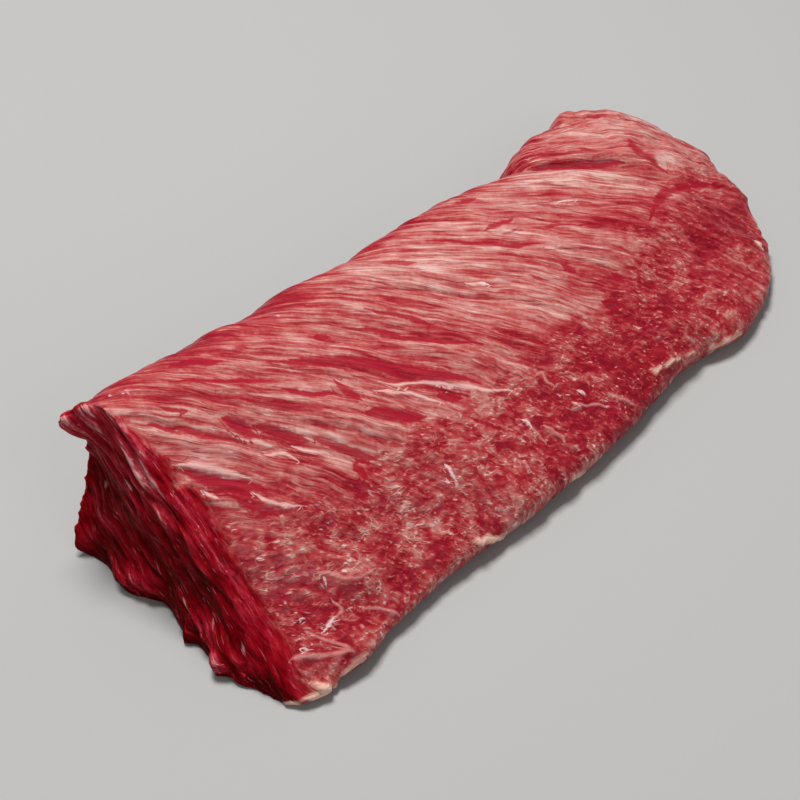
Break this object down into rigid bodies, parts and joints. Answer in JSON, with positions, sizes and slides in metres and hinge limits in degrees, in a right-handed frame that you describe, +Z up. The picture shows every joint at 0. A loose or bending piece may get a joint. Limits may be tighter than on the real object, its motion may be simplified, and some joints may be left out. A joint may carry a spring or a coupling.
{
  "type": "hanger steak",
  "caption": "Raw hanger steak: a long, coarse-grained beef muscle, cut square at one tall end and rounded at the other.",
  "frame": {"origin": "on the surface the steak lies on, under the middle of its bounding box", "axes": "+X from the square cut end to the round end, +Y from the thin front brim to the thick rear rim, +Z up"},
  "size_m": [0.2474, 0.0974, 0.0523],
  "materials": {
    "raw_beef": "moist raw beef, crimson with pale pink fibres, thin silverskin and a few cream flecks of fat"
  },
  "bodies": {
    "root": {"hanger_steak": "raw_beef"}
  },
  "joints": []
}
